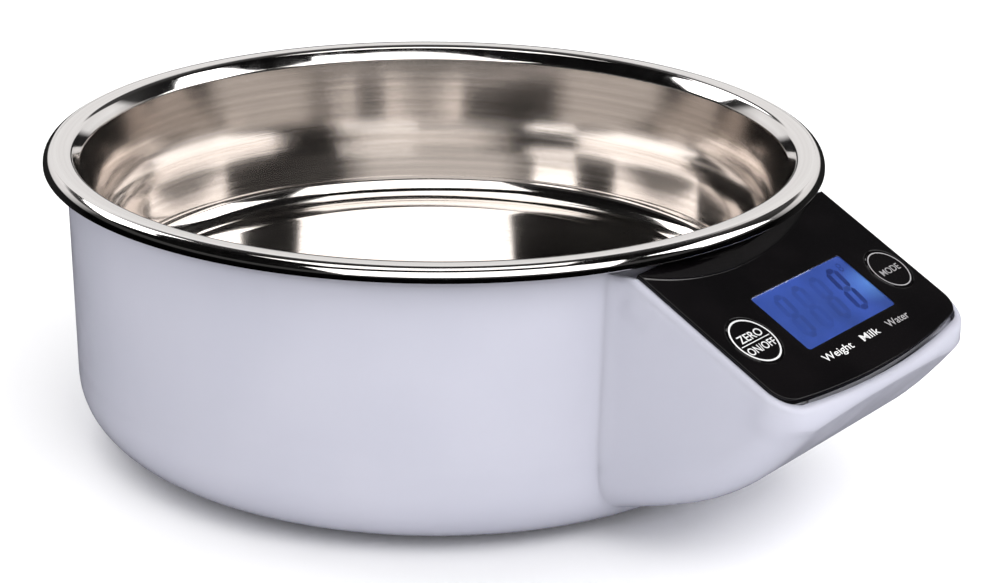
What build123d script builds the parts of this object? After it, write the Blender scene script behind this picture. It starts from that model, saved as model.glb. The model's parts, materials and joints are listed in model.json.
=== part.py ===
"""Electronic weighing bowl: a lift-out steel bowl in a round moulded housing with a display pod.

The table is the plane z = 0. The display pod points to -Y and its text reads from there, with +X to
the right. The origin is under the middle of the whole object, so the bowl's own axis stands a little
behind it. Sizes are in millimetres.
"""
import os
from math import cos, radians, sin, tan

from build123d import *

os.makedirs("parts", exist_ok=True)

# ---- driving dimensions -------------------------------------------------------------------------
rim_radius = 108.0            # outside of the bowl's rolled rim
nose_reach = 148.5            # from the bowl's axis to the tip of the display pod
total_height = 82.0           # table to the top of the rim
foot_stand = 2.0              # the housing stands this far off the table
panel_slope = 27.3            # degrees that the display panel falls towards the user
panel_height = 72.3           # panel surface above the table, straight under the rim's edge

# bowl
sheet = 0.8                   # steel thickness
bowl_depth = 46.4             # rim top to the inside floor
bowl_boss_radius = 80.0       # raised middle of the floor
bowl_boss_rise = 1.0
bowl_corner = 7.0
bowl_wall_low = 95.0          # wall radius at the floor corner
bowl_wall_high = 97.9         # wall radius just under the rim
rim_inner = 100.4             # where the rim's crown starts
rim_drop = 3.3                # height of the rolled rim's section
rim_step = 3.6                # the wall ends this far under the rim's top
curl_end = 103.6              # the curl ends here, under the rim

# housing
wall = 2.2
housing_top_radius = 101.75
housing_low_radius = 100.5
bottom_round = 16.8           # big rounding of the housing's lower edge
lip_gap = 1.4                 # from the lip up to the underside of the rim
lip_round = 0.9
deck_height = 22.0            # underside of the splash deck, above the housing's base
deck = 2.2
deck_hole = 46.0
collar_height = 3.4
cover_radius = 81.8
cover = 2.0
stop_circle = 75.0
cover_screw_grid = (137.0, 44.0)
cover_screw_depth = 12.0

# display pod
pod_half_width = 45.0
pod_wall = 1.7
pod_bilge = 13.0              # rounding along the pod's underside
pod_corner = 9.0
pod_bow = 3.6                 # bow of the pod's tip, over its width
pod_top_round = 1.3           # rounding of the pod's top edge
pod_skin_rise = 2.3           # thickness of the pod's underside, measured upwards

# display panel, measured in its own plane: x across, s up the slope, depth below the surface
lens_half_width = 43.15
lens_thickness = 1.8
lens_proud = 1.0              # the lens stands out of the housing's border
lens_tip = 42.8               # down the slope, at the middle
lens_bow = 3.75
lens_corner = 6.5
adhesive = 0.2
frame_plate = 2.0
lcd_centre = (1.95, -19.8)
lcd_window = (42.2, 20.0)
zero_centre = (-31.6, -20.5)
zero_radius = 7.7
mode_centre = (34.5, -20.1)
mode_radius = 7.0
key_gap = 0.22
key_flange = 1.0
key_travel = 0.3
board_depth = 10.3
board_thickness = 1.6

# weighing
cell_length = 80.0            # single-point bar load cell
cell_side = 12.7
cell_seat = 2.5               # pad between the cell and the bottom cover
cell_hole_places = (25.0, 35.0)
platform_travel = 0.4
platform_radius = 95.0
platform_plate = 2.0
seat_ring_radius = 84.0
seat_ring_width = 5.0
seat_ring_height = 1.5
seat_ring_sink = 0.5

# feet and batteries
foot_radius = 8.0
foot_circle = 66.0
foot_recess = 1.0
aaa_length = 44.5
aaa_radius = 5.25
bay_offset = 46.0             # battery bay's middle, behind the bowl's axis
bay_half_x = 26.0
bay_half_y = 11.6
bay_wall = 1.5
gap = 0.3                     # everyday clearance between separate pieces
screw_radius = 1.4
head_radius = 2.6             # pan-head screws of the cover, the load cell and the platform
head_height = 1.1
cover_counterbore = 1.3

# ---- places worked out from them ----------------------------------------------------------------
bowl_y = (nose_reach - rim_radius) / 2
base_z = foot_stand
cover_top = base_z + cover
rim_under = total_height - rim_drop - sheet / 2
lip_z = rim_under - lip_gap
floor_z = total_height - bowl_depth
bowl_bottom = floor_z - bowl_boss_rise - sheet
deck_low = base_z + deck_height
deck_top = deck_low + deck
platform_top = bowl_bottom - 0.1 - (seat_ring_height - seat_ring_sink)
platform_low = platform_top - platform_plate
cell_low = cover_top + cell_seat
cell_top = cell_low + cell_side
bay_y = bowl_y + bay_offset
cell_axis_z = cover_top + 0.4 + aaa_radius
bay_top = cell_axis_z + aaa_radius + 0.6
slope_cos = cos(radians(panel_slope))
slope_sin = sin(radians(panel_slope))
pod_top_z = lip_z - lip_round - 0.3            # the pod's flat part behind the panel, under the rim
lens_rear = (lip_z - panel_height) / slope_sin
frame_top = lens_thickness + adhesive
frame_low = frame_top + frame_plate

bowl_axis = Axis((0, bowl_y, 0), (0, 0, 1))
radial = Plane(origin=(0, bowl_y, 0), x_dir=(1, 0, 0), z_dir=(0, -1, 0))      # x = radius, y = height
panel = Plane(
    origin=(0, bowl_y - rim_radius, panel_height),
    x_dir=(1, 0, 0),
    z_dir=(0, -slope_sin, slope_cos),
)


panel_axis = Axis(panel.origin, panel.z_dir)


def level(height):
    """A horizontal plane centred on the bowl's axis."""
    return Plane(origin=(0, bowl_y, height))


def bay_level(height):
    """A horizontal plane centred on the battery bay."""
    return Plane(origin=(0, bay_y, height))


def below_panel(depth):
    """The panel's plane moved down its own normal."""
    return panel.offset(-depth)


def write(part, label):
    """Name a finished piece and write it."""
    part.label = label
    export_step(part, f"parts/{label}.step")


# ---- solids that more than one piece needs ------------------------------------------------------
# Height of the pod's underside above the table, at five distances from the bowl's axis.
pod_keel = ((84.0, 5.6), (105.0, 13.2), (123.0, 21.7), (137.0, 33.8), (nose_reach, 48.2))


def pod_solid(inset, rise):
    """The pod's body, open-ended upwards: inset from its sides and raised from its keel."""
    half = pod_half_width - inset
    with BuildPart() as body:
        for reach, keel in pod_keel:
            station = Plane(origin=(0, bowl_y - reach, keel + rise), x_dir=(1, 0, 0), z_dir=(0, -1, 0))
            with BuildSketch(station) as section:
                Rectangle(2 * half, total_height, align=(Align.CENTER, Align.MIN))
                fillet(section.vertices().group_by(Axis.Y)[0], radius=pod_bilge - inset)
        loft()
        tip = inset - nose_reach
        with BuildSketch(level(0)) as plan:
            with BuildLine():
                Polyline((-half, tip + pod_bow), (-half, 0), (half, 0), (half, tip + pod_bow))
                ThreePointArc((-half, tip + pod_bow), (0, tip), (half, tip + pod_bow))
            make_face()
            fillet(plan.vertices().group_by(Axis.Y)[0], radius=pod_corner - inset)
        extrude(amount=3 * total_height, mode=Mode.INTERSECT)
    return body.part


def panel_slab(inset, rear_clearance, top_depth, thickness):
    """A slab with the lens's outline, clear of the tub's wall behind it."""
    half = lens_half_width - inset
    tip = inset - lens_tip
    with BuildPart() as slab:
        with BuildSketch(below_panel(top_depth + thickness)) as outline:
            with BuildLine():
                Polyline((-half, tip + lens_bow), (-half, lens_rear), (half, lens_rear), (half, tip + lens_bow))
                ThreePointArc((-half, tip + lens_bow), (0, tip), (half, tip + lens_bow))
            make_face()
            fillet(outline.vertices().group_by(Axis.Y)[0], radius=lens_corner - inset)
        extrude(amount=thickness)
        with BuildSketch(level(0)):
            Circle(housing_top_radius + rear_clearance)
        extrude(amount=2 * total_height, mode=Mode.SUBTRACT)
    return slab.part


def turn_radii(points):
    """The largest easy arc at each corner of a cable's route."""
    radii = []
    for before, here, after in zip(points, points[1:], points[2:]):
        first = Vector(*here) - Vector(*before)
        second = Vector(*after) - Vector(*here)
        turn = radians(first.get_angle(second))
        radii.append(0.45 * min(first.length, second.length) / tan(turn / 2))
    return radii


def screw(plane, place, head_radius, head_height, length):
    """A pan-head screw: its head stands on the plane and its shank runs down from it."""
    with BuildPart() as body:
        with BuildSketch(plane) as head:
            with Locations(place):
                Circle(head_radius)
        extrude(amount=head_height)
        fillet(body.faces().sort_by(SortBy.AREA)[-1].edges(), radius=head_height * 0.3)
        with BuildSketch(plane):
            with Locations(place):
                Circle(screw_radius)
        extrude(amount=-length)
        with BuildSketch(plane.offset(head_height)):
            with Locations(place):
                Rectangle(head_radius * 1.1, head_radius * 0.25)
                Rectangle(head_radius * 0.25, head_radius * 1.1)
        extrude(amount=-head_height * 0.5, mode=Mode.SUBTRACT)
    return body.part


# ---- steel bowl ---------------------------------------------------------------------------------
outer_floor = floor_z - bowl_boss_rise
wall_end = total_height - rim_step
crown_low = total_height - sheet
curl_low = total_height - rim_drop - sheet / 2

with BuildPart() as steel_bowl:
    with BuildSketch(radial):
        with BuildLine():
            FilletPolyline(
                (0, floor_z),
                (bowl_boss_radius - 0.5, floor_z),
                (bowl_boss_radius + 0.5, outer_floor),
                (bowl_wall_low, outer_floor),
                (bowl_wall_high, wall_end),
                (rim_inner, total_height),
                (rim_radius, total_height),
                (rim_radius, curl_low),
                (curl_end, curl_low),
                (curl_end, curl_low + sheet),
                (rim_radius - sheet, curl_low + sheet),
                (rim_radius - sheet, crown_low),
                (rim_inner + sheet, crown_low),
                (bowl_wall_high + sheet, wall_end),
                (bowl_wall_low + sheet, outer_floor - sheet),
                (bowl_boss_radius + 0.5, outer_floor - sheet),
                (bowl_boss_radius - 0.5, floor_z - sheet),
                (0, floor_z - sheet),
                radius=[0, 0.9, 0.5, bowl_corner, 1.6, 2.2, 1.9, 1.7, 0, 0, 0.9, 1.1, 1.2, 1.4,
                        bowl_corner + sheet, 0.9, 0.5, 0],
                close=True,
            )
        make_face()
    revolve(axis=bowl_axis)
write(steel_bowl.part, "steel_bowl")

# ---- main housing: tub and pod in one moulding ---------------------------------------------------
bracket_height = 6.0
rear_seat = (40.0, 4.6)
front_seat = (34.0, -38.0)
tub_inner_top = housing_top_radius - wall
tub_inner_low = housing_low_radius - wall
opening_radius = cover_radius + 0.2

panel_screw_places = [(side * x, s) for side in (-1, 1) for x, s in (rear_seat, front_seat)]
pod = pod_solid(0, 0)

with BuildPart() as pod_shape:
    add(pod)
    split(bisect_by=below_panel(lens_proud), keep=Keep.BOTTOM)
    fillet(pod_shape.faces().sort_by(panel_axis)[-1].edges(), radius=pod_top_round)
    split(bisect_by=Plane.XY.offset(pod_top_z), keep=Keep.BOTTOM)

# The pod's hollow opens into the electronics bay under the deck, and stays out of the bowl's well.
with BuildPart() as pod_hollow:
    add(pod_solid(pod_wall, pod_skin_rise))
    with BuildSketch(level(deck_low)):
        Circle(housing_top_radius + gap)
    extrude(amount=2 * total_height, mode=Mode.SUBTRACT)

# Four brackets on the pod's walls carry the panel frame.
with BuildPart() as brackets:
    with BuildSketch(below_panel(frame_low)):
        for side in (-1, 1):
            with Locations((side * rear_seat[0], rear_seat[1])):
                Rectangle(9.0, 7.0)
            with Locations((side * front_seat[0], front_seat[1])):
                Rectangle(20.0, 6.4)
    extrude(amount=-bracket_height)
    add(pod, mode=Mode.INTERSECT)
    with BuildSketch(level(0)):
        Circle(housing_top_radius - 1.0)
    extrude(amount=2 * total_height, mode=Mode.SUBTRACT)
    with BuildSketch(below_panel(frame_low)):
        with Locations(*panel_screw_places):
            Circle(screw_radius + 0.1)
    extrude(amount=1.0 - bracket_height, mode=Mode.SUBTRACT)

with BuildPart() as main_housing:
    with BuildSketch(radial):
        with BuildLine():
            FilletPolyline(
                (0, base_z),
                (housing_low_radius, base_z),
                (housing_top_radius, lip_z),
                (0, lip_z),
                radius=[0, bottom_round, lip_round, 0],
                close=True,
            )
        make_face()
    revolve(axis=bowl_axis)
    add(pod_shape.part)
    # the well that takes the bowl
    with BuildSketch(radial):
        with BuildLine():
            Polyline(
                (0, deck_top),
                (tub_inner_low + 0.4, deck_top),
                (tub_inner_top, lip_z + 1),
                (0, lip_z + 1),
                close=True,
            )
        make_face()
    revolve(axis=bowl_axis, mode=Mode.SUBTRACT)
    # the electronics bay under the deck, open for the bottom cover
    with BuildSketch(radial):
        with BuildLine():
            FilletPolyline(
                (0, base_z - 1),
                (opening_radius, base_z - 1),
                (opening_radius, base_z + wall),
                (tub_inner_low, base_z + wall),
                (tub_inner_low, deck_low),
                (0, deck_low),
                radius=[0, 0, 0, bottom_round - wall, 1.0, 0],
                close=True,
            )
        make_face()
    revolve(axis=bowl_axis, mode=Mode.SUBTRACT)
    add(pod_hollow.part, mode=Mode.SUBTRACT)
    add(brackets.part)
    # splash collar round the deck's opening, posts for the cover, and overload stops
    with BuildSketch(level(deck_top)):
        Circle(deck_hole + wall)
    extrude(amount=collar_height)
    with BuildSketch(level(cover_top)):
        with GridLocations(*cover_screw_grid, 2, 2):
            Circle(4.0)
    extrude(until=Until.NEXT)
    with BuildSketch(level(deck_top)):
        with PolarLocations(stop_circle, 4, start_angle=45):
            Circle(3.0)
    extrude(amount=platform_low - deck_top - platform_travel - 0.1)
    with BuildSketch(level(deck_low - 1)):
        Circle(deck_hole)
    extrude(amount=total_height, mode=Mode.SUBTRACT)
    with BuildSketch(level(cover_top)):
        with GridLocations(*cover_screw_grid, 2, 2):
            Circle(screw_radius + 0.1)
    extrude(amount=cover_screw_depth, mode=Mode.SUBTRACT)
write(main_housing.part, "main_housing")

# ---- bottom cover with the battery bay -----------------------------------------------------------
foot_places = [(side * foot_circle * cos(radians(45)), end * foot_circle * sin(radians(45)))
               for side in (-1, 1) for end in (-1, 1)]
hook_x = 15.0
hook_width = 6.0
cell_fixed_holes = [(-x, 0) for x in cell_hole_places]

with BuildPart() as bottom_cover:
    with BuildSketch(level(base_z)):
        Circle(cover_radius)
    extrude(amount=cover)
    # seat for the fixed end of the load cell
    with BuildSketch(level(cover_top)):
        with Locations((-30.0, 0)):
            Rectangle(22.0, 17.0)
        with Locations(*foot_places):
            Circle(foot_radius + 1.5)
    extrude(amount=cell_seat)
    with BuildSketch(level(cover_top + 0.8)):
        with Locations(*foot_places):
            Circle(foot_radius + 2.0)
    extrude(amount=cell_seat, mode=Mode.SUBTRACT)
    # battery bay
    with BuildSketch(bay_level(cover_top)):
        Rectangle(2 * (bay_half_x + bay_wall), 2 * (bay_half_y + bay_wall))
    extrude(amount=bay_top + bay_wall - cover_top)
    with BuildSketch(bay_level(base_z)):
        Rectangle(2 * bay_half_x, 2 * bay_half_y)
    extrude(amount=bay_top - base_z, mode=Mode.SUBTRACT)
    with BuildSketch(bay_level(cover_top)):
        with Locations((-hook_x, bay_half_y), (hook_x, bay_half_y)):
            Rectangle(hook_width + 1.0, 4.0)
    extrude(amount=2.7, mode=Mode.SUBTRACT)
    # finger notch beside the door's latch
    with BuildSketch(bay_level(base_z)):
        with Locations((0, -bay_half_y)):
            SlotOverall(14.0, 5.0)
    extrude(amount=1.2, mode=Mode.SUBTRACT)
    # pockets for the feet, and holes for the screws
    with BuildSketch(level(base_z)):
        with Locations(*foot_places):
            Circle(foot_radius + 0.05)
    extrude(amount=foot_recess, mode=Mode.SUBTRACT)
    with BuildSketch(level(base_z)):
        with Locations(*cell_fixed_holes):
            Circle(screw_radius + 0.15)
        with GridLocations(*cover_screw_grid, 2, 2):
            Circle(screw_radius + 0.15)
    extrude(amount=cover + cell_seat, mode=Mode.SUBTRACT)
    with BuildSketch(level(base_z)):
        with Locations(*cell_fixed_holes):
            Circle(head_radius + gap)
        with GridLocations(*cover_screw_grid, 2, 2):
            Circle(head_radius + gap)
    extrude(amount=cover_counterbore, mode=Mode.SUBTRACT)
write(bottom_cover.part, "bottom_cover")

for name, place in zip(("front_left", "rear_left", "front_right", "rear_right"), foot_places):
    with BuildPart() as foot:
        with BuildSketch(level(0)):
            with Locations(place):
                Circle(foot_radius)
        extrude(amount=base_z + foot_recess)
        fillet(foot.faces().sort_by(Axis.Z)[0].edges(), radius=0.8)
        with BuildSketch(level(0)):
            with Locations(place):
                Circle(5.2)
                Circle(4.6, mode=Mode.SUBTRACT)
        extrude(amount=0.4, mode=Mode.SUBTRACT)
    write(foot.part, f"foot_{name}")

under_cover = Plane(origin=(0, bowl_y, base_z + cover_counterbore), x_dir=(1, 0, 0), z_dir=(0, 0, -1))
with BuildPart() as cover_screws:
    for side in (-1, 1):
        for end in (-1, 1):
            place = (side * cover_screw_grid[0] / 2, end * cover_screw_grid[1] / 2)
            add(screw(under_cover, place, head_radius, head_height, 10.0))
write(cover_screws.part, "cover_screws")

# ---- battery door and batteries ------------------------------------------------------------------
door_half_x = bay_half_x - gap
door_half_y = bay_half_y - gap
with BuildPart() as battery_door:
    with BuildSketch(bay_level(base_z)):
        RectangleRounded(2 * door_half_x, 2 * door_half_y, 0.6)
    extrude(amount=cover)
    # ribs for the fingers, hooks on the hinge side and the latch's tongue
    with BuildSketch(bay_level(base_z)):
        with Locations((0, -door_half_y + 5.0)):
            with GridLocations(0, 1.6, 1, 3):
                SlotOverall(12.0, 0.7)
    extrude(amount=0.4, mode=Mode.SUBTRACT)
    with BuildSketch(bay_level(cover_top - 0.5)):
        with Locations((-hook_x, door_half_y - 1.0), (hook_x, door_half_y - 1.0)):
            Rectangle(hook_width, 2.0)
    extrude(amount=1.7)
    with BuildSketch(bay_level(cover_top + 0.35)):
        with Locations((-hook_x, door_half_y), (hook_x, door_half_y)):
            Rectangle(hook_width, 3.4)
    extrude(amount=0.85)
    with BuildSketch(bay_level(base_z)):
        with Locations((-6.5, -door_half_y + 3.0), (6.5, -door_half_y + 3.0)):
            Rectangle(0.6, 7.0)
    extrude(amount=cover, mode=Mode.SUBTRACT)
write(battery_door.part, "battery_door")

plate = 0.4
spring_room = 2 * (bay_half_x - plate) - aaa_length
for number, (offset_y, sign) in enumerate(((-5.6, 1), (5.6, -1)), start=1):
    spring_end = Plane(
        origin=(sign * (plate - bay_half_x), bay_y + offset_y, cell_axis_z),
        x_dir=(0, 1, 0),
        z_dir=(sign, 0, 0),
    )
    with BuildPart() as battery:
        with BuildSketch(spring_end.offset(spring_room)):
            Circle(aaa_radius)
        extrude(amount=aaa_length - 1.2)
        fillet(battery.edges().filter_by(GeomType.CIRCLE), radius=0.5)
        with BuildSketch(spring_end.offset(spring_room + aaa_length - 1.3)):
            Circle(1.9)
        extrude(amount=1.3)
    write(battery.part, f"battery_{number}")
    with BuildPart() as battery_spring:
        with BuildLine():
            coil = Helix(pitch=(spring_room - 0.6) / 4, height=spring_room - 0.6, radius=3.2)
        with BuildSketch(Plane(coil @ 0, z_dir=coil % 0)):
            Circle(0.28)
        sweep()
    spring = spring_end.offset(0.3).location * battery_spring.part
    write(spring, f"battery_spring_{number}")

with BuildPart() as contact_plates:
    with BuildSketch(bay_level(cover_top + 1.0)):
        with Locations((bay_half_x - plate / 2, 0)):
            Rectangle(plate, 2 * bay_half_y - 1.0)
        with Locations((plate / 2 - bay_half_x, -5.6), (plate / 2 - bay_half_x, 5.6)):
            Rectangle(plate, 9.0)
    extrude(amount=9.0)
write(contact_plates.part, "contact_plates")

# ---- load cell and weighing platform ------------------------------------------------------------
with BuildPart() as load_cell:
    with BuildSketch(level(cell_low)):
        Rectangle(cell_length, cell_side)
    extrude(amount=cell_side)
    chamfer(load_cell.edges().filter_by(Axis.X), length=0.4)
    # twin bores joined by a slot leave the thin webs that bend
    with BuildSketch(Plane(origin=(0, bowl_y - cell_side, cell_low + cell_side / 2), z_dir=(0, 1, 0),
                           x_dir=(1, 0, 0))):
        with Locations((-7.5, 0), (7.5, 0)):
            Circle(5.0)
        Rectangle(15.0, 3.0)
    extrude(amount=2 * cell_side, mode=Mode.SUBTRACT)
    with BuildSketch(level(cell_low)):
        with Locations(*[(side * x, 0) for side in (-1, 1) for x in cell_hole_places]):
            Circle(screw_radius + 0.15)
    extrude(amount=cell_side, mode=Mode.SUBTRACT)
write(load_cell.part, "load_cell")

with BuildPart() as gauge_coating:
    with BuildSketch(level(cell_top)):
        RectangleRounded(26.0, 9.0, 2.0)
    extrude(amount=0.9)
    fillet(gauge_coating.faces().sort_by(Axis.Z)[-1].edges(), radius=0.6)
write(gauge_coating.part, "gauge_coating")

with BuildPart() as load_cell_screws:
    for place in cell_fixed_holes:
        add(screw(under_cover, place, head_radius, head_height, 12.0))
write(load_cell_screws.part, "load_cell_screws")

with BuildPart() as weigh_platform:
    with BuildSketch(level(platform_low)):
        Circle(platform_radius)
    extrude(amount=platform_plate)
    # rim that centres the bowl
    with BuildSketch(level(platform_top)):
        Circle(platform_radius)
        Circle(platform_radius - 1.7, mode=Mode.SUBTRACT)
    extrude(amount=1.4)
    # splash skirt, ribs, and the boss on the live end of the load cell
    with BuildSketch(level(platform_low)):
        Circle(deck_hole + wall + 4.0)
        Circle(deck_hole + wall + 2.0, mode=Mode.SUBTRACT)
    extrude(amount=-(platform_low - deck_top - 1.0))
    with BuildSketch(level(cell_top)):
        with Locations((30.0, 0)):
            Rectangle(20.0, 17.0)
    extrude(amount=platform_low - cell_top)
    with BuildSketch(level(deck_top + 2.0)):
        for angle in (0, 45, 90, 135):
            Rectangle(2 * (deck_hole - 1.0), 1.8, rotation=angle)
    extrude(amount=platform_low - deck_top - 2.0)
    with BuildSketch(level(platform_top)):
        Circle(seat_ring_radius + seat_ring_width / 2)
        Circle(seat_ring_radius - seat_ring_width / 2, mode=Mode.SUBTRACT)
    extrude(amount=-seat_ring_sink, mode=Mode.SUBTRACT)
    with BuildSketch(level(platform_top)):
        with Locations(*[(x, 0) for x in cell_hole_places]):
            Circle(3.4)
    extrude(amount=-5.0, mode=Mode.SUBTRACT)
    with BuildSketch(level(platform_top)):
        with Locations(*[(x, 0) for x in cell_hole_places]):
            Circle(screw_radius + 0.15)
    extrude(amount=cell_top - platform_top, mode=Mode.SUBTRACT)
write(weigh_platform.part, "weigh_platform")

with BuildPart() as platform_screws:
    for x in cell_hole_places:
        add(screw(level(platform_top - 5.0), (x, 0), head_radius, head_height, 15.0))
write(platform_screws.part, "platform_screws")

with BuildPart() as seat_ring:
    with BuildSketch(level(platform_top - seat_ring_sink)):
        Circle(seat_ring_radius + seat_ring_width / 2 - 0.05)
        Circle(seat_ring_radius - seat_ring_width / 2 + 0.05, mode=Mode.SUBTRACT)
    extrude(amount=seat_ring_height)
    fillet(seat_ring.faces().sort_by(Axis.Z)[-1].edges(), radius=0.5)
write(seat_ring.part, "seat_ring")

# ---- display panel ------------------------------------------------------------------------------
keys = {"zero": (zero_centre, zero_radius), "mode": (mode_centre, mode_radius)}

with BuildPart() as display_lens:
    add(panel_slab(0, 0.35, 0, lens_thickness))
    with BuildSketch(panel):
        for centre, radius in keys.values():
            with Locations(centre):
                Circle(radius + key_gap)
    extrude(amount=-lens_thickness, mode=Mode.SUBTRACT)
    chamfer(display_lens.faces().sort_by(panel_axis)[-1].outer_wire().edges(), length=0.3)
write(display_lens.part, "display_lens")

with BuildPart() as lens_adhesive:
    add(panel_slab(0.4, 0.6, lens_thickness, adhesive))
    with BuildSketch(below_panel(lens_thickness)):
        for centre, radius in keys.values():
            with Locations(centre):
                Circle(radius + 1.6)
        with Locations(lcd_centre):
            Rectangle(lcd_window[0] + 1.0, lcd_window[1] + 1.0)
    extrude(amount=-adhesive, mode=Mode.SUBTRACT)
write(lens_adhesive.part, "lens_adhesive")

recess = 1.4
board_x = 39.0
board_low_s = -34.0
board_high_s = -1.5
board_posts = [(side * 34.5, s) for side in (-1, 1) for s in (-4.6, -31.0)]
with BuildPart() as panel_frame:
    add(panel_slab(0.1, 0.6, frame_top, frame_plate))
    with BuildSketch(below_panel(frame_low)):
        with Locations(*board_posts):
            Circle(2.6)
    extrude(amount=frame_low - board_depth)
    with BuildSketch(below_panel(board_depth)):
        with Locations(*board_posts):
            Circle(1.1)
    extrude(amount=4.0, mode=Mode.SUBTRACT)
    with BuildSketch(below_panel(frame_top)):
        for centre, radius in keys.values():
            with Locations(centre):
                Circle(radius + key_flange + 0.3)
    extrude(amount=-recess, mode=Mode.SUBTRACT)
    with BuildSketch(below_panel(frame_top)):
        for centre, radius in keys.values():
            with Locations(centre):
                Circle(2.6)
        with Locations(lcd_centre):
            Rectangle(lcd_window[0] + 1.0, lcd_window[1] + 1.0)
        with Locations(*panel_screw_places):
            Circle(screw_radius + 0.15)
    extrude(amount=-frame_plate, mode=Mode.SUBTRACT)
    with BuildSketch(below_panel(frame_top)):
        with Locations(*panel_screw_places):
            Circle(2.8)
    extrude(amount=-1.2, mode=Mode.SUBTRACT)
write(panel_frame.part, "panel_frame")

with BuildPart() as panel_screws:
    for place in panel_screw_places:
        add(screw(below_panel(frame_top + 1.2), place, 2.5, 1.0, 5.0))
write(panel_screws.part, "panel_screws")

switch_top = 6.8
button_top = 6.0
for key, (centre, radius) in keys.items():
    with BuildPart() as cap:
        with BuildSketch(panel):
            with Locations(centre):
                Circle(radius)
        extrude(amount=-(lens_thickness + 0.25))
        chamfer(cap.faces().sort_by(panel_axis)[-1].edges(), length=0.2)
        with BuildSketch(below_panel(lens_thickness + 0.25)):
            with Locations(centre):
                Circle(radius + key_flange)
        extrude(amount=-0.7)
        with BuildSketch(below_panel(lens_thickness + 0.9)):
            with Locations(centre):
                Circle(2.2)
        extrude(amount=-(button_top - lens_thickness - 0.9))
    write(cap.part, f"{key}_key")

    with BuildPart() as actuator:
        with BuildSketch(below_panel(button_top)):
            with Locations(centre):
                Circle(1.7)
        extrude(amount=-1.3)
    write(actuator.part, f"{key}_switch_actuator")

    with BuildPart() as switch_body:
        with BuildSketch(below_panel(board_depth)):
            with Locations(centre):
                Rectangle(6.0, 6.0)
        extrude(amount=board_depth - switch_top)
        with BuildSketch(below_panel(switch_top)):
            with Locations(centre):
                Circle(1.95)
        extrude(amount=-1.0 - 2 * key_travel, mode=Mode.SUBTRACT)
    write(switch_body.part, f"{key}_switch")

glass_depth = 4.4
glass_thickness = 2.6
glass_size = (46.4, 25.0)
bezel_wall = 1.0
with BuildPart() as lcd_glass:
    with BuildSketch(below_panel(glass_depth)):
        with Locations(lcd_centre):
            Rectangle(*glass_size)
    extrude(amount=-glass_thickness)
write(lcd_glass.part, "lcd_glass")

with BuildPart() as lcd_bezel:
    with BuildSketch(below_panel(frame_low + 0.05)):
        with Locations(lcd_centre):
            Rectangle(glass_size[0] + 2 * bezel_wall + 0.2, glass_size[1] + 2 * bezel_wall + 0.2)
    extrude(amount=-(board_depth - frame_low - 0.05))
    with BuildSketch(below_panel(glass_depth)):
        with Locations(lcd_centre):
            Rectangle(glass_size[0] + 0.2, glass_size[1] + 0.2)
    extrude(amount=-(board_depth - glass_depth), mode=Mode.SUBTRACT)
    with BuildSketch(below_panel(frame_low)):
        with Locations(lcd_centre):
            Rectangle(lcd_window[0] + 1.4, lcd_window[1] + 1.4)
    extrude(amount=-1.0, mode=Mode.SUBTRACT)
write(lcd_bezel.part, "lcd_bezel")

guide_depth = glass_depth + glass_thickness
with BuildPart() as backlight_guide:
    with BuildSketch(below_panel(guide_depth)):
        with Locations(lcd_centre):
            Rectangle(44.0, 19.4)
    extrude(amount=-(board_depth - guide_depth))
write(backlight_guide.part, "backlight_guide")

with BuildPart() as zebra_strips:
    with BuildSketch(below_panel(guide_depth)):
        with Locations(lcd_centre):
            with GridLocations(0, 22.4, 1, 2):
                Rectangle(42.0, 1.8)
    extrude(amount=-(board_depth - guide_depth))
write(zebra_strips.part, "zebra_strips")

with BuildPart() as circuit_board:
    with BuildSketch(below_panel(board_depth)):
        with Locations((0, (board_low_s + board_high_s) / 2)):
            Rectangle(2 * board_x, board_high_s - board_low_s)
        with Locations(*board_posts):
            Circle(1.2, mode=Mode.SUBTRACT)
    extrude(amount=-board_thickness)
write(circuit_board.part, "circuit_board")

board_low = below_panel(board_depth + board_thickness)
under_board = Plane(origin=board_low.origin, x_dir=(1, 0, 0), z_dir=-board_low.z_dir)
with BuildPart() as board_screws:
    for x, s in board_posts:
        with BuildSketch(under_board):
            with Locations((x, -s)):
                Circle(2.3)
        extrude(amount=1.2)
        with BuildSketch(under_board):
            with Locations((x, -s)):
                Circle(1.05)
        extrude(amount=-5.0)
write(board_screws.part, "board_screws")

with BuildPart() as controller_chip:
    with BuildSketch(under_board):
        with Locations((20.0, 14.0)):
            Ellipse(7.0, 6.0)
    extrude(amount=1.6)
    fillet(controller_chip.faces().sort_by(panel_axis)[0].edges(), radius=1.2)
write(controller_chip.part, "controller_chip")

# ---- leads ---------------------------------------------------------------------------------------
# Each lead ends just under the circuit board, a little down its slope.
solder_y = bowl_y - 111.4
solder_z = 56.2
sensor_route = [
    (-12.0, bowl_y - cell_side / 2 - 0.3, 14.0),
    (-12.0, bowl_y - 34.0, 9.5),
    (-9.0, bowl_y - 60.0, 8.0),
    (-8.0, bowl_y - 82.0, 10.5),
    (-6.0, bowl_y - 99.0, 18.0),
    (-6.0, bowl_y - 110.0, 32.0),
    (-6.0, solder_y, solder_z),
]
battery_route = [
    (bay_half_x + bay_wall + 0.3, bay_y, 9.0),
    (42.0, bay_y - 4.0, 8.5),
    (54.0, bowl_y + 22.0, 8.0),
    (56.0, bowl_y - 4.0, 8.0),
    (44.0, bowl_y - 38.0, 8.0),
    (24.0, bowl_y - 64.0, 8.5),
    (11.0, bowl_y - 82.0, 11.0),
    (7.0, bowl_y - 99.0, 18.0),
    (7.0, bowl_y - 110.0, 32.0),
    (7.0, solder_y, solder_z),
]
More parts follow.
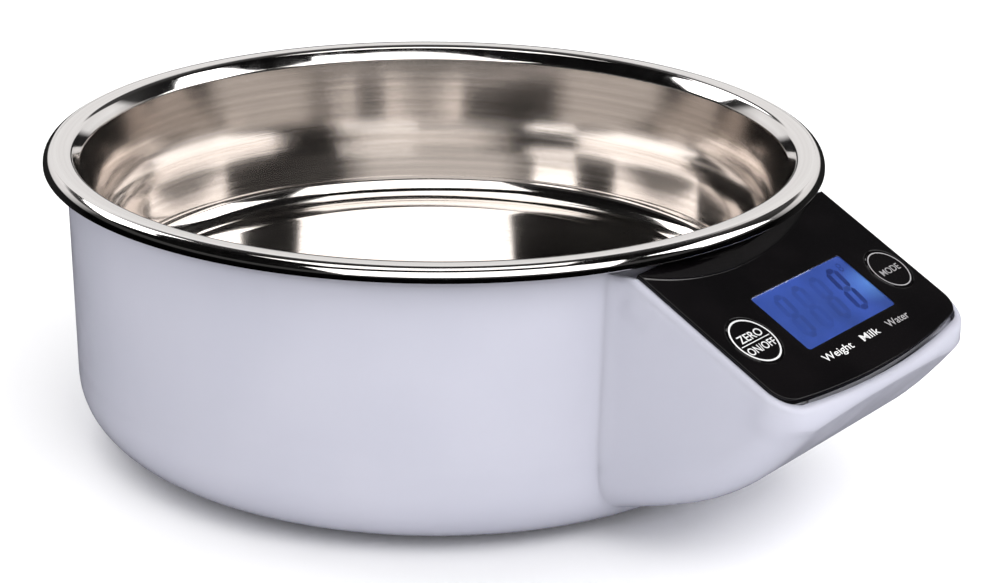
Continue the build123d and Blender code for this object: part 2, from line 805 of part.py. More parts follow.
for label, route, radius in (("sensor_cable", sensor_route, 1.2), ("battery_lead", battery_route, 0.9)):
    with BuildPart() as lead:
        with BuildLine() as run:
            FilletPolyline(*route, radius=turn_radii(route))
        with BuildSketch(Plane(origin=run.line @ 0, z_dir=run.line % 0)):
            Circle(radius)
        sweep()
    write(lead.part, label)
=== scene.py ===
"""Looks of the electronic weighing bowl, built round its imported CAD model.

Lengths in this file are millimetres until a mesh is placed; the scene itself is in metres. The display
panel has its own plane: x across, s up the slope, and depth below the surface.
"""
import json
from math import acos, atan2, ceil, cos, degrees, hypot, pi, radians, sin, sqrt, tan

import bmesh
import bpy
from mathutils import Matrix, Vector


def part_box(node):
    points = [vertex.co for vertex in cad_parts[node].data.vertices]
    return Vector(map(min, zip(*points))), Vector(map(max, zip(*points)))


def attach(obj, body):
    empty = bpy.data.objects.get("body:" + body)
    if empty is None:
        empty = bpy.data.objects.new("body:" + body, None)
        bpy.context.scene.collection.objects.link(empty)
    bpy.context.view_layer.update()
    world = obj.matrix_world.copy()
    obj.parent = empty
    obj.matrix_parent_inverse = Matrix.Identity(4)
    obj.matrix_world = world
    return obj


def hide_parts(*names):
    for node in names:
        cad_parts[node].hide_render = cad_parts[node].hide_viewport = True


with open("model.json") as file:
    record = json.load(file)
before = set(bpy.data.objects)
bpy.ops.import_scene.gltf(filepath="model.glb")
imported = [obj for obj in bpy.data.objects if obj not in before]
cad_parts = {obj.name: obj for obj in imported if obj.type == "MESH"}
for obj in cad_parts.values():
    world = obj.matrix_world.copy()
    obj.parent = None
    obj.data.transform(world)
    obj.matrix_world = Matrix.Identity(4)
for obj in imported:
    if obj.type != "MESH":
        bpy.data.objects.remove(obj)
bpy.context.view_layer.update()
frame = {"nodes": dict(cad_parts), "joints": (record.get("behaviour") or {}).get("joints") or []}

MM = 0.001
scene = bpy.context.scene

# ---- places taken from the frame ----------------------------------------------------------------
bowl_low, bowl_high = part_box("steel_bowl")
rim_radius = (bowl_high.x - bowl_low.x) / 2 / MM
rim_top = bowl_high.z / MM
floor_top = bowl_low.z / MM + 1.8
axis_x = (bowl_low.x + bowl_high.x) / 2
axis_y = (bowl_low.y + bowl_high.y) / 2
press = next(j for j in frame["joints"] if j["name"] == "zero_key_press")["axis"]
panel_slope = atan2(press[1], -press[2])
panel_height = 72.3

to_metres = Matrix.Diagonal((MM, MM, MM, 1))
panel_place = (
    Matrix.Translation((0, axis_y - rim_radius * MM, panel_height * MM))
    @ Matrix.Rotation(panel_slope, 4, "X")
    @ to_metres
)
bowl_place = Matrix.Translation((axis_x, axis_y, 0)) @ to_metres


# ---- material helpers ---------------------------------------------------------------------------
class Finish:
    """A Principled material, built up one procedural layer at a time."""

    def __init__(self, name, **sockets):
        self.material = bpy.data.materials.new(name)
        self.material.use_nodes = True
        self.nodes = self.material.node_tree.nodes
        self.links = self.material.node_tree.links
        self.shader = self.nodes["Principled BSDF"]
        self.normal = None
        for key, value in sockets.items():
            self.shader.inputs[key.replace("_", " ")].default_value = value

    def add(self, kind, **settings):
        node = self.nodes.new(kind)
        for key, value in settings.items():
            setattr(node, key, value)
        return node

    def place(self, stretch=(1, 1, 1)):
        """The piece's own coordinates, in metres of the row frame, stretched."""
        mapping = self.add("ShaderNodeMapping")
        mapping.inputs["Scale"].default_value = stretch
        self.links.new(self.add("ShaderNodeTexCoord").outputs["Object"], mapping.inputs["Vector"])
        return mapping.outputs["Vector"]

    def noise(self, scale, detail=2.0, vector=None, **placing):
        noise = self.add("ShaderNodeTexNoise")
        noise.inputs["Scale"].default_value = scale
        noise.inputs["Detail"].default_value = detail
        self.links.new(vector or self.place(**placing), noise.inputs["Vector"])
        return noise.outputs["Fac"]

    def ramp(self, value, low, high, start=0.35, end=0.65):
        """A colour that goes from low to high as value goes from start to end."""
        ramp = self.add("ShaderNodeValToRGB")
        for stop, at, colour in zip(ramp.color_ramp.elements, (start, end), (low, high)):
            stop.position = at
            stop.color = (*colour, 1)
        self.links.new(value, ramp.inputs["Fac"])
        return ramp.outputs["Color"]

    def spread(self, value, low, high, start=0.3, end=0.7):
        """A number that goes from low to high as value goes from start to end."""
        spread = self.add("ShaderNodeMapRange")
        for key, number in zip(("From Min", "From Max", "To Min", "To Max"), (start, end, low, high)):
            spread.inputs[key].default_value = number
        self.links.new(value, spread.inputs["Value"])
        return spread.outputs["Result"]

    def colour(self, value, low, high, **stops):
        self.links.new(self.ramp(value, low, high, **stops), self.shader.inputs["Base Color"])
        return self

    def roughness(self, value, low, high, **stops):
        self.links.new(self.spread(value, low, high, **stops), self.shader.inputs["Roughness"])
        return self

    def bump(self, value, strength, distance):
        """Adds relief, on top of any relief already there."""
        bump = self.add("ShaderNodeBump")
        bump.inputs["Strength"].default_value = strength
        bump.inputs["Distance"].default_value = distance
        self.links.new(value, bump.inputs["Height"])
        if self.normal:
            self.links.new(self.normal, bump.inputs["Normal"])
        self.normal = bump.outputs["Normal"]
        self.links.new(self.normal, self.shader.inputs["Normal"])
        return self

    def rings(self, stretch, offset=0.0):
        """Streaks that run round the bowl's axis."""
        from_axis = self.add("ShaderNodeVectorMath", operation="SUBTRACT")
        from_axis.inputs[1].default_value = (axis_x, axis_y, 0)
        self.links.new(self.add("ShaderNodeTexCoord").outputs["Object"], from_axis.inputs[0])
        parts = self.add("ShaderNodeSeparateXYZ")
        self.links.new(from_axis.outputs["Vector"], parts.inputs["Vector"])
        flat = self.add("ShaderNodeCombineXYZ")
        self.links.new(parts.outputs["X"], flat.inputs["X"])
        self.links.new(parts.outputs["Y"], flat.inputs["Y"])
        radius = self.add("ShaderNodeVectorMath", operation="LENGTH")
        self.links.new(flat.outputs["Vector"], radius.inputs[0])
        streak = self.add("ShaderNodeCombineXYZ")
        streak.inputs["Z"].default_value = offset
        self.links.new(radius.outputs["Value"], streak.inputs["X"])
        self.links.new(parts.outputs["Z"], streak.inputs["Y"])
        return self.noise(stretch, detail=3.0, vector=streak.outputs["Vector"])

    def times(self, one, other):
        times = self.add("ShaderNodeMath", operation="MULTIPLY")
        self.links.new(one, times.inputs[0])
        self.links.new(other, times.inputs[1])
        return times.outputs["Value"]


def moulded(name, low, high, roughness, grain=1500.0, relief=0.08, **sockets):
    """Moulded plastic or rubber: faint mottling, uneven gloss and a fine grain."""
    finish = Finish(name, **sockets)
    finish.colour(finish.noise(35.0), low, high)
    finish.roughness(finish.noise(90.0, detail=4.0), *roughness)
    finish.bump(finish.noise(grain, detail=3.0), relief, 0.00005)
    return finish


def metal(name, low, high, roughness, stretch=(1, 1, 1)):
    """Bare or plated metal with drawn or cast texture."""
    scale = 900.0
    finish = Finish(name, Metallic=1.0)
    finish.colour(finish.noise(60.0), low, high)
    finish.roughness(finish.noise(scale, detail=3.0, stretch=stretch), *roughness)
    finish.bump(finish.noise(scale, detail=2.0, stretch=stretch), 0.06, 0.00003)
    return finish


# ---- materials ----------------------------------------------------------------------------------
brushed = Finish("brushed_steel", Metallic=1.0, Anisotropic=0.35)
lines = brushed.rings(2600.0)
patches = brushed.noise(28.0, detail=2.0)
brushed.colour(brushed.rings(700.0, offset=3.0), (0.72, 0.68, 0.65), (0.82, 0.78, 0.75))
brushed.roughness(brushed.times(lines, patches), 0.06, 0.12, start=0.12, end=0.40)
brushed.bump(lines, 0.10, 0.00002)
tangent = brushed.add("ShaderNodeTangent", direction_type="RADIAL", axis="Z")
brushed.links.new(tangent.outputs["Tangent"], brushed.shader.inputs["Tangent"])

polished = Finish("polished_steel", Metallic=1.0)
polished.colour(polished.rings(500.0), (0.74, 0.71, 0.70), (0.82, 0.80, 0.79))
polished.roughness(polished.noise(220.0, detail=4.0), 0.045, 0.085)
polished.bump(polished.rings(1500.0), 0.03, 0.00001)

satin = Finish("satin_steel", Metallic=0.55)
satin.colour(satin.rings(600.0), (0.50, 0.49, 0.48), (0.60, 0.59, 0.58))
satin.roughness(satin.noise(180.0, detail=4.0), 0.26, 0.40)
satin.bump(satin.rings(1800.0), 0.08, 0.00002)

housing = Finish("housing_plastic", Specular_IOR_Level=0.5, Coat_Weight=0.15, Coat_Roughness=0.08)
housing.colour(housing.noise(22.0), (0.500, 0.505, 0.590), (0.525, 0.528, 0.612))
housing.roughness(housing.noise(70.0, detail=4.0), 0.16, 0.26)
soft_edge = housing.add("ShaderNodeBevel", samples=6)
soft_edge.inputs["Radius"].default_value = 0.005
housing.normal = soft_edge.outputs["Normal"]
housing.bump(housing.noise(260.0, detail=2.0), 0.05, 0.00006)
housing.bump(housing.noise(2200.0, detail=3.0), 0.04, 0.00003)

lens_black = Finish("lens_gloss_black", Specular_IOR_Level=0.32)
lens_black.colour(lens_black.noise(60.0), (0.0022, 0.0019, 0.0023), (0.0038, 0.0032, 0.0037))
lens_black.roughness(lens_black.noise(140.0, detail=4.0), 0.03, 0.07)
lens_black.bump(lens_black.noise(90.0), 0.03, 0.00003)

window_clear = Finish("lens_window_clear", IOR=1.49, Transmission_Weight=1.0, Roughness=0.0)
window_clear.colour(window_clear.noise(60.0), (0.95, 0.96, 1.0), (1.0, 1.0, 1.0))
window_clear.roughness(window_clear.noise(300.0), 0.0, 0.02)

print_white = moulded("print_white", (0.62, 0.62, 0.63), (0.80, 0.80, 0.80), (0.30, 0.45))
print_grey = moulded("print_grey", (0.30, 0.29, 0.30), (0.42, 0.41, 0.42), (0.30, 0.45))
inner_plastic = moulded("inner_plastic", (0.52, 0.52, 0.57), (0.60, 0.60, 0.65), (0.35, 0.5))
rubber = moulded("rubber_grey", (0.045, 0.045, 0.05), (0.075, 0.075, 0.08), (0.6, 0.8), relief=0.4)
silicone = moulded("silicone", (0.55, 0.55, 0.57), (0.66, 0.66, 0.68), (0.4, 0.55))
adhesive = moulded("adhesive_film", (0.02, 0.02, 0.02), (0.05, 0.05, 0.05), (0.5, 0.7))
aluminium = metal(
    "cell_aluminium", (0.72, 0.73, 0.74), (0.83, 0.84, 0.85), (0.25, 0.42), stretch=(0.05, 1, 1)
)
zinc = metal("screw_zinc", (0.50, 0.50, 0.52), (0.66, 0.66, 0.68), (0.22, 0.4))
nickel = metal("spring_nickel", (0.66, 0.64, 0.60), (0.76, 0.74, 0.70), (0.15, 0.28))
jacket = moulded("battery_jacket", (0.025, 0.04, 0.06), (0.04, 0.06, 0.085), (0.18, 0.3))
board = moulded("board_green", (0.012, 0.085, 0.035), (0.02, 0.12, 0.05), (0.25, 0.4), grain=700.0)
epoxy = moulded("chip_epoxy", (0.012, 0.012, 0.012), (0.022, 0.022, 0.022), (0.45, 0.6))
plunger = moulded("switch_plunger", (0.22, 0.012, 0.012), (0.28, 0.02, 0.02), (0.35, 0.5))
bezel = moulded("bezel_black", (0.012, 0.012, 0.014), (0.02, 0.02, 0.022), (0.45, 0.6))
guide = moulded(
    "light_guide", (0.30, 0.42, 0.86), (0.40, 0.52, 0.95), (0.2, 0.35), Transmission_Weight=0.4
)
wire = moulded("wire_jacket", (0.06, 0.06, 0.07), (0.09, 0.09, 0.10), (0.4, 0.55))

slot_finish = {
    "bowl_steel": brushed,
    "housing_white": housing,
    "inner_plastic": inner_plastic,
    "lens_black": lens_black,
    "rubber_grey": rubber,
    "silicone": silicone,
    "adhesive": adhesive,
    "cell_aluminium": aluminium,
    "screw_steel": zinc,
    "spring_nickel": nickel,
    "battery_jacket": jacket,
    "board_green": board,
    "chip_epoxy": epoxy,
    "switch_plunger": plunger,
    "lcd_blue": bezel,
    "light_guide": guide,
    "bezel_black": bezel,
    "wire_jacket": wire,
}
for node in frame["nodes"].values():
    for place in node.material_slots:
        place.material = slot_finish[place.material.name.split(".")[0]].material


# ---- mesh helpers -------------------------------------------------------------------------------
def piece(name, mesh, body, finishes, stands_for=()):
    """Makes a mesh a piece of the object: smooth, with sharp edges kept, riding on its body."""
    mesh.name = name
    mesh.polygons.foreach_set("use_smooth", [True] * len(mesh.polygons))
    mesh.set_sharp_from_angle(angle=radians(40.0))
    for finish in finishes:
        mesh.materials.append(finish.material)
    made = bpy.data.objects.new(name, mesh)
    scene.collection.objects.link(made)
    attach(made, body)
    if stands_for:
        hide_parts(*stands_for)
    return made


def rounded(corners, step=10.0):
    """A closed polyline through corners (x, y, radius), each rounded in steps of so many degrees."""
    line = []
    count = len(corners)
    for i, (x, y, radius) in enumerate(corners):
        if radius == 0:
            line.append((x, y))
            continue
        here = Vector((x, y))
        back = (Vector(corners[i - 1][:2]) - here).normalized()
        on = (Vector(corners[(i + 1) % count][:2]) - here).normalized()
        half = acos(max(-1.0, min(1.0, back.dot(on)))) / 2
        centre = here + (back + on).normalized() * (radius / sin(half))
        first = here + back * (radius / tan(half)) - centre
        turn = pi - 2 * half
        if first.x * back.y - first.y * back.x > 0:
            turn = -turn
        pieces = max(2, ceil(abs(degrees(turn)) / step))
        for k in range(pieces + 1):
            a = turn * k / pieces
            line.append((
                centre.x + first.x * cos(a) - first.y * sin(a),
                centre.y + first.x * sin(a) + first.y * cos(a),
            ))
    return line


def lathe(profile, place, segments=288):
    """A closed profile of (radius, height) turned about the vertical axis; radius 0 makes a pole."""
    verts, rings = [], []
    for radius, height in profile:
        if radius < 1e-6:
            rings.append([len(verts)] * segments)
            verts.append((0, 0, height))
        else:
            rings.append(list(range(len(verts), len(verts) + segments)))
            verts += [
                (radius * cos(2 * pi * k / segments), radius * sin(2 * pi * k / segments), height)
                for k in range(segments)
            ]
    faces = []
    for low, high in zip(rings, rings[1:] + rings[:1]):
        if low[0] == low[1] and high[0] == high[1]:
            continue
        for k in range(segments):
            m = (k + 1) % segments
            corners = (low[k], low[m], high[m], high[k])
            faces.append([c for i, c in enumerate(corners) if c != corners[i - 1]])
    mesh = bpy.data.meshes.new("lathe")
    mesh.from_pydata(verts, [], faces)
    work = bmesh.new()
    work.from_mesh(mesh)
    bmesh.ops.recalc_face_normals(work, faces=work.faces)
    work.to_mesh(mesh)
    work.free()
    mesh.transform(place)
    return mesh


def solid_from(curve, place):
    """The mesh of a filled curve or a text, welded and put in place."""
    source = bpy.data.objects.new("source", curve)
    scene.collection.objects.link(source)
    bpy.context.view_layer.update()
    mesh = bpy.data.meshes.new_from_object(source)
    bpy.data.objects.remove(source)
    bpy.data.curves.remove(curve)
    work = bmesh.new()
    work.from_mesh(mesh)
    bmesh.ops.remove_doubles(work, verts=work.verts, dist=1e-4)
    bmesh.ops.recalc_face_normals(work, faces=work.faces)
    work.to_mesh(mesh)
    work.free()
    mesh.materials.clear()
    mesh.transform(place)
    return mesh


def plate(loops, depth, thickness, bevel=0.0):
    """A flat plate in the panel's plane, its top at depth; loops inside a loop are holes."""
    curve = bpy.data.curves.new("plate", "CURVE")
    curve.dimensions = "2D"
    curve.fill_mode = "BOTH"
    for loop in loops:
        spline = curve.splines.new("POLY")
        spline.points.add(len(loop) - 1)
        for point, (x, y) in zip(spline.points, loop):
            point.co = (x, y, 0, 1)
        spline.use_cyclic_u = True
    curve.extrude = thickness / 2 - bevel
    curve.bevel_depth = bevel
    curve.bevel_resolution = 2
    curve.offset = -bevel
    return solid_from(curve, panel_place @ Matrix.Translation((0, 0, -depth - thickness / 2)))


def flatten(made):
    """Keeps broad faces flat where they meet small bevels."""
    weighted = made.modifiers.new("weighted", "WEIGHTED_NORMAL")
    weighted.keep_sharp = True
    weighted.weight = 100


def circle(centre, radius, count=96):
    x, y = centre
    turns = [2 * pi * k / count for k in range(count)]
    return [(x + radius * cos(turn), y + radius * sin(turn)) for turn in turns]


def box_loop(centre, width, height, radius):
    x, y = centre
    return rounded([
        (x + i * width / 2, y + j * height / 2, radius) for i, j in ((-1, -1), (1, -1), (1, 1), (-1, 1))
    ])


def label(name, words, centre, baseline, width, height, finish, body, weight):
    """Flat lettering in the panel's plane, fitted to a width and a capital height; weight bolds it."""
    curve = bpy.data.curves.new(name, "FONT")
    curve.body = words
    curve.size = 10.0
    curve.offset = weight
    curve.resolution_u = 4
    curve.align_x = "CENTER"
    source = bpy.data.objects.new("measure", curve)
    scene.collection.objects.link(source)
    bpy.context.view_layer.update()
    corners = [Vector(c) for c in source.bound_box]
    bpy.data.objects.remove(source)
    left, right = min(c.x for c in corners), max(c.x for c in corners)
    capital = 7.3  # capital height of the font at this size
    curve.extrude = print_thickness / 2
    place = (
        panel_place
        @ Matrix.Translation((centre, baseline, print_thickness / 2))
        @ Matrix.Diagonal((width / (right - left), height / capital, 1, 1))
        @ Matrix.Translation((-(left + right) / 2, 0, 0))
    )
    return piece(name, solid_from(curve, place), body, [finish])


# ---- steel bowl ---------------------------------------------------------------------------------
sheet = 0.8
floor_radius, groove_radius = 79.4, 80.6
groove = floor_top - 1.0
wall_foot, wall_top = 95.0, 97.9
wall_height = rim_top - 3.6
slope_radius, slope_height = 100.4, rim_top - 0.35
crown_radius = 104.2
edge_height = rim_top - 0.3
under_rim = rim_top - 3.7
lip_radius = 103.6
polished_from = 98.3
bowl_profile = rounded([
    (0, floor_top, 0),
    (floor_radius, floor_top, 1.2),
    (groove_radius, groove, 0.8),
    (wall_foot, groove, 7.0),
    (wall_top, wall_height, 1.4),
    (slope_radius, slope_height, 1.8),
    (crown_radius, rim_top, 20.0),
    (rim_radius, edge_height, 3.0),
    (rim_radius, under_rim, 0.35),
    (lip_radius, under_rim, 0),
    (lip_radius, under_rim + sheet, 0),
    (rim_radius - sheet, under_rim + sheet, 0.2),
    (rim_radius - sheet, edge_height - sheet, 1.6),
    (crown_radius, rim_top - sheet, 18.0),
    (slope_radius + sheet, slope_height - sheet, 1.0),
    (wall_top + sheet, wall_height, 1.4),
    (wall_foot + sheet, groove - sheet, 7.8),
    (groove_radius, groove - sheet, 0.8),
    (floor_radius, floor_top - sheet, 1.2),
    (0, floor_top - sheet, 0),
], step=8.0)
bowl_mesh = lathe(bowl_profile, bowl_place)
bowl_finishes = [brushed, polished, satin]
piece("bowl_shell", bowl_mesh, "bowl", bowl_finishes, ["steel_bowl"])
for face in bowl_mesh.polygons:
    from_axis = hypot(face.center.x - axis_x, face.center.y - axis_y) / MM
    if face.normal.z < 0 and face.center.z < under_rim * MM:
        finish = satin
    else:
        finish = polished if from_axis > polished_from else brushed
    face.material_index = bowl_finishes.index(finish)

# ---- display lens and its window ----------------------------------------------------------------
lens_half = 43.15
lens_tip = 42.8
lens_bow = 3.75
lens_thickness = 1.8
lens_behind = 10.03
lens_cut = 102.1
key_gap = 0.22
zero_centre, zero_cap = (-31.6, -20.5), 7.7
mode_centre, mode_cap = (34.5, -20.1), 7.0
window_centre, window_size = (1.95, -19.8), (42.3, 20.0)
print_thickness = 0.02


def lens_outline(inset):
    half = lens_half - inset
    tip = lens_tip - inset
    bow_radius = (half ** 2 + lens_bow ** 2) / (2 * lens_bow)
    bow_steps = 24
    front = []
    for k in range(1, bow_steps):
        x = half * (2 * k / bow_steps - 1)
        if abs(x) < half - 8.0:
            front.append((x, -tip + bow_radius - sqrt(bow_radius ** 2 - x ** 2), 0))
    cut = lens_cut + inset
    meet = sqrt(cut ** 2 - (rim_radius - lens_behind * cos(panel_slope)) ** 2)
    rear = []
    rear_steps = 24
    for k in range(rear_steps + 1):
        x = meet * (1 - 2 * k / rear_steps)
        rear.append((x, (rim_radius - sqrt(cut ** 2 - x ** 2)) / cos(panel_slope), 0))
    corner = 6.5 - inset
    return rounded(
        [(-half, -tip + lens_bow, corner)]
        + front
        + [(half, -tip + lens_bow, corner), (half, lens_behind, 0)]
        + rear
        + [(-half, lens_behind, 0)],
        step=6.0,
    )


flatten(piece(
    "lens_plate",
    plate(
        [
            lens_outline(0),
            circle(zero_centre, zero_cap + key_gap),
            circle(mode_centre, mode_cap + key_gap),
            box_loop(window_centre, *window_size, 0.9),
        ],
        0, lens_thickness, bevel=0.28,
    ),
    "base", [lens_black], ["display_lens"],
))
window_loop = box_loop(window_centre, window_size[0] - 0.02, window_size[1] - 0.02, 0.9)
piece("lens_window", plate([window_loop], 0.0, 0.5), "base", [window_clear])

# ---- liquid-crystal display ---------------------------------------------------------------------
face_depth = 0.55
lcd_back = Finish("lcd_backlit", Roughness=0.35)
glow = lcd_back.add("ShaderNodeTexGradient", gradient_type="SPHERICAL")
mapping = lcd_back.add("ShaderNodeMapping", vector_type="TEXTURE")
spot = panel_place @ Vector((window_centre[0] + 21.0, window_centre[1] - 0.8, 0))
mapping.inputs["Location"].default_value = spot
mapping.inputs["Rotation"].default_value = (panel_slope, 0, 0)
mapping.inputs["Scale"].default_value = (0.010, 0.007, 0.05)
lcd_back.links.new(lcd_back.add("ShaderNodeTexCoord").outputs["Object"], mapping.inputs["Vector"])
lcd_back.links.new(mapping.outputs["Vector"], glow.inputs["Vector"])
mottle = lcd_back.ramp(lcd_back.noise(70.0), (0.027, 0.068, 0.300), (0.037, 0.090, 0.420))
shine = lcd_back.ramp(glow.outputs["Fac"], (0, 0, 0), (0.08, 0.20, 0.40), start=0.0, end=1.0)
blend = lcd_back.add("ShaderNodeMix", data_type="RGBA", blend_type="ADD")
blend.inputs["Factor"].default_value = 1.0
lcd_back.links.new(mottle, blend.inputs["A"])
lcd_back.links.new(shine, blend.inputs["B"])
lcd_back.links.new(blend.outputs["Result"], lcd_back.shader.inputs["Emission Color"])
lcd_back.shader.inputs["Emission Strength"].default_value = 1.0
lcd_back.colour(lcd_back.noise(70.0), (0.010, 0.020, 0.10), (0.014, 0.030, 0.14))


def glowing(name, low, high):
    """A liquid-crystal segment: a darker blue that still lets some backlight through."""
    finish = Finish(name, Roughness=0.35, Emission_Strength=1.0)
    fac = finish.noise(120.0)
    finish.colour(fac, (0.004, 0.008, 0.05), (0.006, 0.012, 0.07))
    finish.links.new(finish.ramp(fac, low, high), finish.shader.inputs["Emission Color"])
    return finish


segment_on = glowing("lcd_segment_on", (0.008, 0.026, 0.165), (0.012, 0.036, 0.215))
segment_off = glowing("lcd_segment_off", (0.023, 0.058, 0.262), (0.031, 0.076, 0.360))
piece("lcd_face", plate([window_loop], face_depth, 1.35), "base", [lcd_back])

digit_height, digit_width, bar = 15.2, 5.4, 1.75
digit_pitch, digit_low, slant = 8.45, -27.1, 0.15
last_digit = 10.1


def bar_loop(start, end, width):
    """One segment of a digit: a bar with pointed ends."""
    a, b = Vector(start), Vector(end)
    along = (b - a).normalized()
    side = Vector((-along.y, along.x)) * width / 2
    tip = along * width / 2
    return [tuple(p) for p in (a, a + tip + side, b - tip + side, b, b - tip - side, a + tip - side)]


def digit_bars(left, names, low=digit_low, height=digit_height, width=digit_width, line=bar):
    """The named segments of a seven-segment digit, as loops that lean to the right."""
    gap = 0.12
    x0, x1 = line / 2, width - line / 2
    y0, y1, y2 = line / 2, height / 2, height - line / 2
    ends = {
        "a": ((x0, y2), (x1, y2)),
        "b": ((x1, y1), (x1, y2)),
        "c": ((x1, y0), (x1, y1)),
        "d": ((x0, y0), (x1, y0)),
        "e": ((x0, y0), (x0, y1)),
        "f": ((x0, y1), (x0, y2)),
        "g": ((x0, y1), (x1, y1)),
    }
    loops = []
    for name in names:
        (ax, ay), (bx, by) = ends[name]
        if ay == by:
            ax, bx = ax + gap, bx - gap
        else:
            ay, by = ay + gap, by - gap
        loop = bar_loop((ax, ay), (bx, by), line)
        loops.append([(left + x + slant * y, low + y) for x, y in loop])
    return loops


def flat_marks(name, loops, finish, depth):
    return piece(name, plate(loops, depth, print_thickness), "base", [finish])


unit_bars = digit_bars(18.4, "abcdefg", low=-14.5, height=2.9, width=1.9, line=0.42)
mark_depth = face_depth - print_thickness - 0.005
flat_marks("lcd_digit", digit_bars(last_digit, "abcdef") + unit_bars, segment_on, mark_depth)
ghosts = []
for step in (1, 2, 3):
    ghosts += digit_bars(last_digit - step * digit_pitch, "abcdefg")
ghosts += digit_bars(last_digit, "g")
flat_marks("lcd_ghost_digits", ghosts, segment_off, mark_depth)

# ---- printing on the lens and the keys ----------------------------------------------------------
key_rings = (
    ("zero", zero_centre, 7.0, 0.50, print_white, "zero_button"),
    ("mode", mode_centre, 6.25, 0.34, print_grey, "mode_button"),
)
for name, centre, radius, line, finish, body in key_rings:
    ring = plate([circle(centre, radius + line / 2), circle(centre, radius - line / 2)],
                 -print_thickness, print_thickness)
    piece(f"{name}_ring", ring, body, [finish])
zero_x, mode_x = zero_centre[0], mode_centre[0]
divider = plate([box_loop((zero_x, -20.75), 12.3, 0.24, 0.1)], -print_thickness, print_thickness)
piece("zero_divider", divider, "zero_button", [print_white])
captions_line, captions_height = -34.9, 2.35
labels = (
    ("zero", "ZERO", zero_x, -19.95, 9.8, 2.5, print_white, "zero_button", 0.09),
    ("on_off", "ON/OFF", zero_x, -24.0, 11.6, 2.4, print_white, "zero_button", 0.09),
    ("mode", "MODE", mode_x, -21.4, 8.8, 2.2, print_grey, "mode_button", 0.02),
    ("weight", "Weight", -11.4, captions_line, 13.4, captions_height, print_white, "base", 0.05),
    ("milk", "Milk", 4.2, captions_line, 8.3, captions_height, print_white, "base", 0.05),
    ("water", "Water", 18.0, captions_line, 10.4, captions_height, print_grey, "base", 0.05),
)
for name, *lettering in labels:
    label(f"{name}_label", *lettering)

# ---- floor, light and camera --------------------------------------------------------------------
def stage_card(name, size, finish):
    """A flat rectangle about the origin."""
    w, h = size[0] / 2, size[1] / 2
    mesh = bpy.data.meshes.new(name)
    mesh.from_pydata([(-w, -h, 0), (w, -h, 0), (w, h, 0), (-w, h, 0)], [], [(0, 1, 2, 3)])
    mesh.materials.append(finish.material)
    made = bpy.data.objects.new(name, mesh)
    scene.collection.objects.link(made)
    return made


floor_finish = Finish("floor", Roughness=0.6)
floor_finish.colour(floor_finish.noise(3.0), (0.93, 0.93, 0.935), (0.95, 0.95, 0.955))
floor = stage_card("floor", (8.0, 8.0), floor_finish)
floor.visible_glossy = False

world = bpy.data.worlds.new("studio")
scene.world = world
world.use_nodes = True
sky_nodes, sky_links = world.node_tree.nodes, world.node_tree.links
sky_way = sky_nodes.new("ShaderNodeTexCoord").outputs["Generated"]
sky_ray = sky_nodes.new("ShaderNodeLightPath")
behind = (0.79, 0.61, 0.0)
left_side = (-0.61, 0.79, 0.0)


def sky_ramp(value, stops):
    """Grey shades over a value of the sky, as (place, shade) stops."""
    ramp = sky_nodes.new("ShaderNodeValToRGB")
    for at, _ in stops[1:-1]:
        ramp.color_ramp.elements.new(at)
    for stop, (at, shade) in zip(ramp.color_ramp.elements, stops):
        stop.position = at
        stop.color = (shade, shade * 0.995, shade * 0.99, 1)
    sky_links.new(value, ramp.inputs["Fac"])
    return ramp.outputs["Color"]


def sky_towards(way):
    """From 0, facing away from a direction, to 1, facing it."""
    dot = sky_nodes.new("ShaderNodeVectorMath")
    dot.operation = "DOT_PRODUCT"
    dot.inputs[1].default_value = way
    sky_links.new(sky_way, dot.inputs[0])
    spread = sky_nodes.new("ShaderNodeMapRange")
    spread.inputs["From Min"].default_value = -1.0
    sky_links.new(dot.outputs["Value"], spread.inputs["Value"])
    return spread.outputs["Result"]


def sky_blend(factor, one, other, kind="MIX"):
    blend = sky_nodes.new("ShaderNodeMix")
    blend.data_type = "RGBA"
    blend.blend_type = kind
    for key, value in (("Factor", factor), ("A", one), ("B", other)):
        if isinstance(value, (float, tuple)):
            blend.inputs[key].default_value = value
        else:
            sky_links.new(value, blend.inputs[key])
    return blend.outputs["Result"]


# Mirrors see a light wall behind the object, between a dark table and a dark ceiling. Other rays get
# soft light from all round, and the camera sees plain white.
sky_height = sky_nodes.new("ShaderNodeSeparateXYZ")
sky_links.new(sky_way, sky_height.inputs["Vector"])
wall_shades = ((0.12, 0.015), (0.17, 0.85), (0.39, 0.95), (0.43, 0.06), (1.0, 0.04))
wall = sky_ramp(sky_height.outputs["Z"], wall_shades)
wall_side = sky_ramp(sky_towards(behind), ((0.68, 0.05), (0.85, 1.0)))
mirrored = sky_blend(1.0, wall, wall_side, "MULTIPLY")
lit = sky_ramp(sky_towards(left_side), ((0.45, 1.15), (0.85, 0.80)))
white = (1.0, 1.0, 1.0, 1.0)
indirect = sky_blend(sky_ray.outputs["Is Glossy Ray"], lit, mirrored)
sky = sky_blend(sky_ray.outputs["Is Camera Ray"], indirect, white)
sky_links.new(sky, sky_nodes["Background"].inputs["Color"])
sky_nodes["Background"].inputs["Strength"].default_value = 1.0


def aim(thing, place, target):
    """Puts a light, card or camera at place, facing target."""
    thing.location = place
    thing.rotation_mode = "QUATERNION"
    thing.rotation_quaternion = (Vector(target) - Vector(place)).to_track_quat("-Z", "Y")


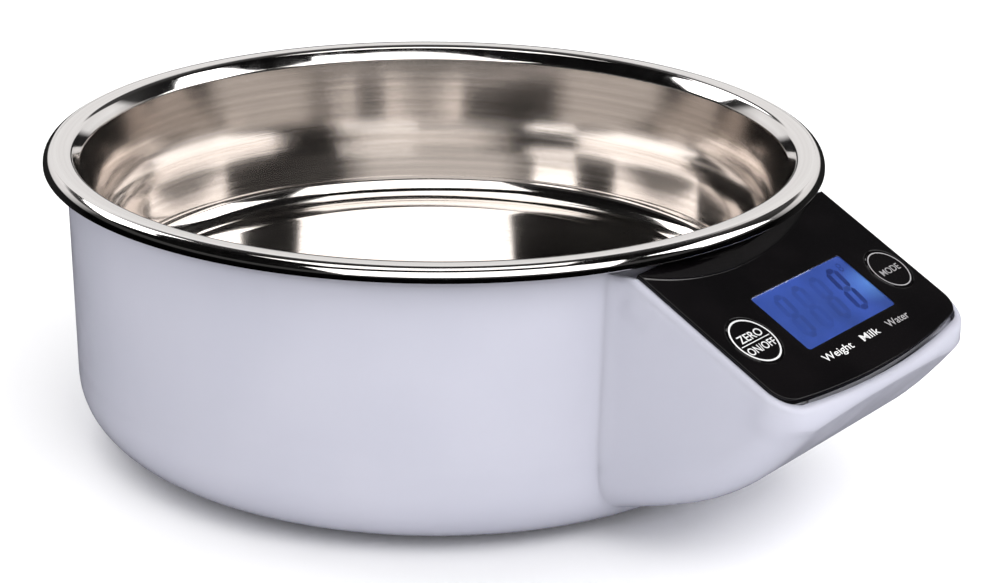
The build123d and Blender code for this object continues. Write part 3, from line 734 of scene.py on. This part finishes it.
def softbox(name, place, target, size, power):
    lamp = bpy.data.lights.new(name, "AREA")
    lamp.shape = "RECTANGLE"
    lamp.size, lamp.size_y = size
    lamp.energy = power
    made = bpy.data.objects.new(name, lamp)
    scene.collection.objects.link(made)
    aim(made, place, target)


def card(name, place, target, size, colour, strength):
    """A reflector that only mirrors see."""
    shade = Finish(name, Roughness=1.0, Emission_Strength=strength)
    shade.shader.inputs["Emission Color"].default_value = (*colour, 1)
    shade.shader.inputs["Base Color"].default_value = (0, 0, 0, 1)
    shade.shader.inputs["Specular IOR Level"].default_value = 0.0
    made = stage_card(name, size, shade)
    aim(made, place, target)
    made.visible_camera = False
    made.visible_diffuse = False
    made.visible_transmission = False
    made.visible_shadow = False


middle = Vector((axis_x, axis_y, 0.05))
softbox("key_light", (-0.4, -1.0, 1.3), middle, (1.0, 0.8), 9.0)
softbox("fill_light", (0.9, -0.9, 0.9), middle, (0.8, 0.8), 7.0)
softbox("back_light", (0.2, 1.3, 1.1), middle, (1.4, 0.5), 8.0)
card("bright_front", (-0.528, -0.644, 0.872), (0, 0, 0.20), (1.7, 0.985), (1.0, 0.99, 0.985), 2.2)
card("bright_top", (0.10, 0.15, 1.3), (0, 0.02, 0.05), (0.9, 0.55), (1.0, 0.985, 0.97), 1.9)

camera_data = bpy.data.cameras.new("camera")
camera_data.sensor_width = 36.0
camera_data.lens = 92.31
camera_data.clip_start = 0.01
camera_data.clip_end = 20.0
camera = bpy.data.objects.new("camera", camera_data)
scene.collection.objects.link(camera)
camera_place = Vector((-0.53155, -0.41106, 0.29016))
camera_target = Vector((0.01132, 0.00550, 0.03685))
camera_roll = radians(0.8735)
forward = (camera_target - camera_place).normalized()
right = forward.cross(Vector((0, 0, 1))).normalized()
up = right.cross(forward)
turned_right = right * cos(camera_roll) + up * sin(camera_roll)
turned_up = up * cos(camera_roll) - right * sin(camera_roll)
camera.matrix_world = Matrix.Translation(camera_place) @ Matrix(
    (turned_right, turned_up, -forward)
).transposed().to_4x4()
scene.camera = camera
scene.view_settings.view_transform = "Standard"
